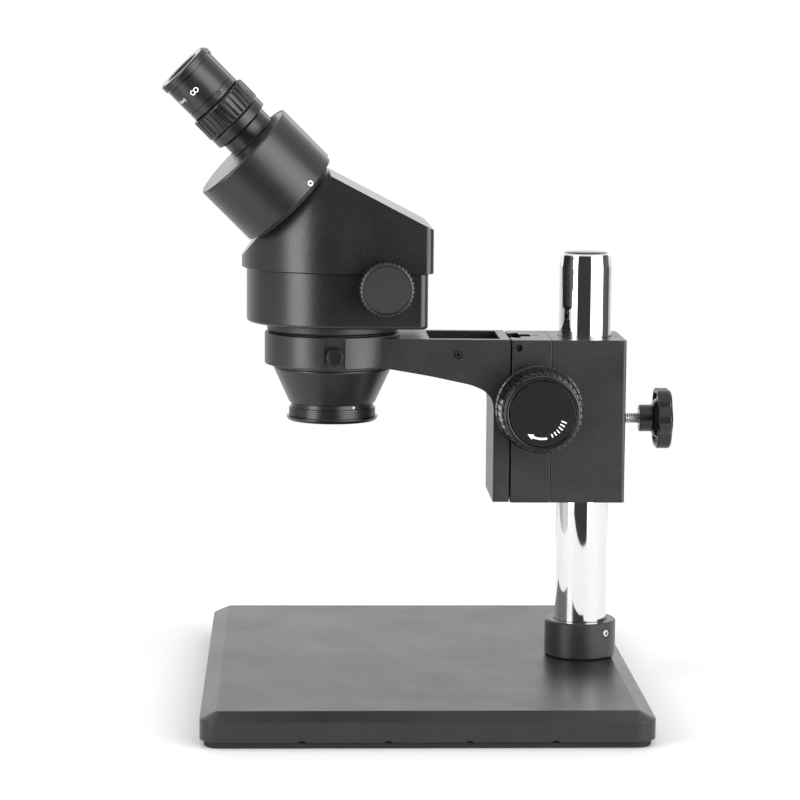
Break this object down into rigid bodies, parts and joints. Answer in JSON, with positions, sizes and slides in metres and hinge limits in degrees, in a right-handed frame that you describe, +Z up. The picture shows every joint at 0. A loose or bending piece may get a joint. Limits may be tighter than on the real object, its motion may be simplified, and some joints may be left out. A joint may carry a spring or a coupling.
{
  "type": "stereo microscope",
  "caption": "Binocular stereo zoom microscope: tilted eyepieces on a swivelling head, held by a rack-and-pinion focus arm on a pillar above a flat base.",
  "frame": {"origin": "on the bench, under the middle of the base", "axes": "+X to the user's right, +Y away from the user towards the pillar, +Z up; the user sits at -Y"},
  "size_m": [0.32, 0.3128, 0.3937],
  "materials": {
    "cast_black": "black fine-textured powder coat over an aluminium casting",
    "base_black": "black fine-textured powder coat over cast iron",
    "anodised_black": "satin black anodised, turned",
    "plastic_black": "black moulded plastic, half gloss",
    "rubber_black": "matte black rubber",
    "chrome": "polished hard chrome",
    "zinc": "zinc-plated steel",
    "black_oxide": "black-oxide steel screws",
    "brass": "turned brass",
    "glass": "coated optical glass"
  },
  "bodies": {
    "stand": {"base_plate": "base_black", "base_pad": "rubber_black", "pillar_collar": "anodised_black", "collar_set_screw": "zinc", "pillar_bolt": "zinc"},
    "pillar": {"pillar": "chrome", "pillar_cap": "plastic_black"},
    "focus_block": {"clamp_block": "cast_black", "rack_housing": "cast_black", "housing_screw_upper": "black_oxide", "housing_screw_lower": "black_oxide", "gib_screw": "black_oxide", "pinion_bush_left": "brass", "pinion_bush_right": "brass"},
    "clamp_screw": {"clamp_bolt": "zinc", "clamp_knob": "plastic_black"},
    "pinion": {"pinion_shaft": "zinc", "focus_knob_left": "plastic_black", "focus_cap_left": "plastic_black"},
    "tension_knob": {"focus_knob_right": "plastic_black", "focus_cap_right": "plastic_black"},
    "carriage": {"focus_arm": "cast_black", "focus_rack": "zinc", "arm_set_screw": "black_oxide"},
    "head_lock": {"lock_screw": "anodised_black"},
    "head": {"head_body": "cast_black", "head_cover": "cast_black", "mount_flange": "anodised_black", "objective_cone": "anodised_black", "objective_ring": "anodised_black", "objective_cap": "plastic_black", "objective_glass": "glass", "objective_lens_left": "glass", "objective_lens_right": "glass", "guide_rod_left": "chrome", "guide_rod_right": "chrome"},
    "zoom": {"zoom_shaft": "zinc", "zoom_gear": "brass", "zoom_knob_left": "plastic_black", "zoom_knob_right": "plastic_black"},
    "zoom_upper": {"zoom_carrier_upper": "brass", "zoom_lens_upper_left": "glass", "zoom_lens_upper_right": "glass"},
    "zoom_lower": {"zoom_carrier_lower": "brass", "zoom_lens_lower_left": "glass", "zoom_lens_lower_right": "glass"},
    "tube_left": {"prism_housing_left": "cast_black", "housing_plate_left": "anodised_black", "prism_left": "glass", "eye_tube_left": "anodised_black"},
    "eyepiece_left": {"eyepiece_left": "anodised_black", "eye_lens_left": "glass"},
    "diopter_left": {"diopter_ring_left": "plastic_black"},
    "tube_right": {"prism_housing_right": "cast_black", "housing_plate_right": "anodised_black", "prism_right": "glass", "eye_tube_right": "anodised_black"},
    "eyepiece_right": {"eyepiece_right": "anodised_black", "eye_lens_right": "glass"},
    "diopter_right": {"diopter_ring_right": "plastic_black"}
  },
  "joints": [
    {"name": "pillar_swing", "type": "hinge", "parent": "stand", "child": "pillar", "pos_m": [0, 0.1018, 0.0203], "axis": [0, 0, 1], "continuous": true},
    {"name": "block_lift", "type": "slide", "parent": "pillar", "child": "focus_block", "axis": [0, 0, 1], "range_m": [-0.07, 0.05]},
    {"name": "clamp_turn", "type": "hinge", "parent": "focus_block", "child": "clamp_screw", "pos_m": [0, 0.1305, 0.1683], "axis": [0, 1, 0], "range_deg": [0, 360]},
    {"name": "focus_travel", "type": "slide", "parent": "focus_block", "child": "carriage", "axis": [0, 0, 1], "range_m": [-0.025, 0.025]},
    {"name": "pinion_turn", "type": "hinge", "parent": "focus_block", "child": "pinion", "pos_m": [0, 0.071, 0.1785], "axis": [1, 0, 0], "range_deg": [-239, 239]},
    {"name": "tension_turn", "type": "hinge", "parent": "pinion", "child": "tension_knob", "pos_m": [0.047, 0.071, 0.1785], "axis": [1, 0, 0], "range_deg": [-60, 60]},
    {"name": "head_lock_turn", "type": "hinge", "parent": "carriage", "child": "head_lock", "pos_m": [0.0405, -0.0525, 0.2106], "axis": [1, 0, 0], "range_deg": [0, 360]},
    {"name": "head_swivel", "type": "hinge", "parent": "carriage", "child": "head", "pos_m": [0, -0.0533, 0.222], "axis": [0, 0, 1], "continuous": true},
    {"name": "zoom_turn", "type": "hinge", "parent": "head", "child": "zoom", "pos_m": [0, -0.0225, 0.253], "axis": [1, 0, 0], "range_deg": [-100, 100]},
    {"name": "zoom_upper_travel", "type": "slide", "parent": "head", "child": "zoom_upper", "axis": [0, 0, 1], "range_m": [-0.00785, 0.00785]},
    {"name": "zoom_lower_travel", "type": "slide", "parent": "head", "child": "zoom_lower", "axis": [0, 0, 1], "range_m": [-0.006, 0.006]},
    {"name": "tube_right_swing", "type": "hinge", "parent": "head", "child": "tube_right", "pos_m": [0.03629, -0.09383, 0.31784], "axis": [0.1045, -0.7032, 0.7032], "range_deg": [-33, 33]},
    {"name": "tube_left_swing", "type": "hinge", "parent": "head", "child": "tube_left", "pos_m": [-0.03629, -0.09383, 0.31784], "axis": [-0.1045, -0.7032, 0.7032], "range_deg": [-33, 33]},
    {"name": "eyepiece_right_travel", "type": "slide", "parent": "tube_right", "child": "eyepiece_right", "axis": [0.1045, -0.7032, 0.7032], "range_m": [0, 0.005]},
    {"name": "diopter_right_turn", "type": "hinge", "parent": "eyepiece_right", "child": "diopter_right", "pos_m": [0.02669, -0.11847, 0.3562], "axis": [0.1045, -0.7032, 0.7032], "range_deg": [0, 270]},
    {"name": "eyepiece_left_travel", "type": "slide", "parent": "tube_left", "child": "eyepiece_left", "axis": [-0.1045, -0.7032, 0.7032], "range_m": [0, 0.005]},
    {"name": "diopter_left_turn", "type": "hinge", "parent": "eyepiece_left", "child": "diopter_left", "pos_m": [-0.02669, -0.11847, 0.3562], "axis": [-0.1045, -0.7032, 0.7032], "range_deg": [0, 270]}
  ],
  "couplings": [
    {"joint": "pinion_turn", "follows": "focus_travel", "rad_per_m": -166.67},
    {"joint": "zoom_turn", "follows": "zoom_upper_travel", "rad_per_m": 222.22},
    {"joint": "zoom_lower_travel", "follows": "zoom_upper_travel", "ratio": -0.75556},
    {"joint": "tube_left_swing", "follows": "tube_right_swing", "ratio": -1},
    {"joint": "diopter_right_turn", "follows": "eyepiece_right_travel", "rad_per_m": 940},
    {"joint": "diopter_left_turn", "follows": "eyepiece_left_travel", "rad_per_m": 940}
  ]
}
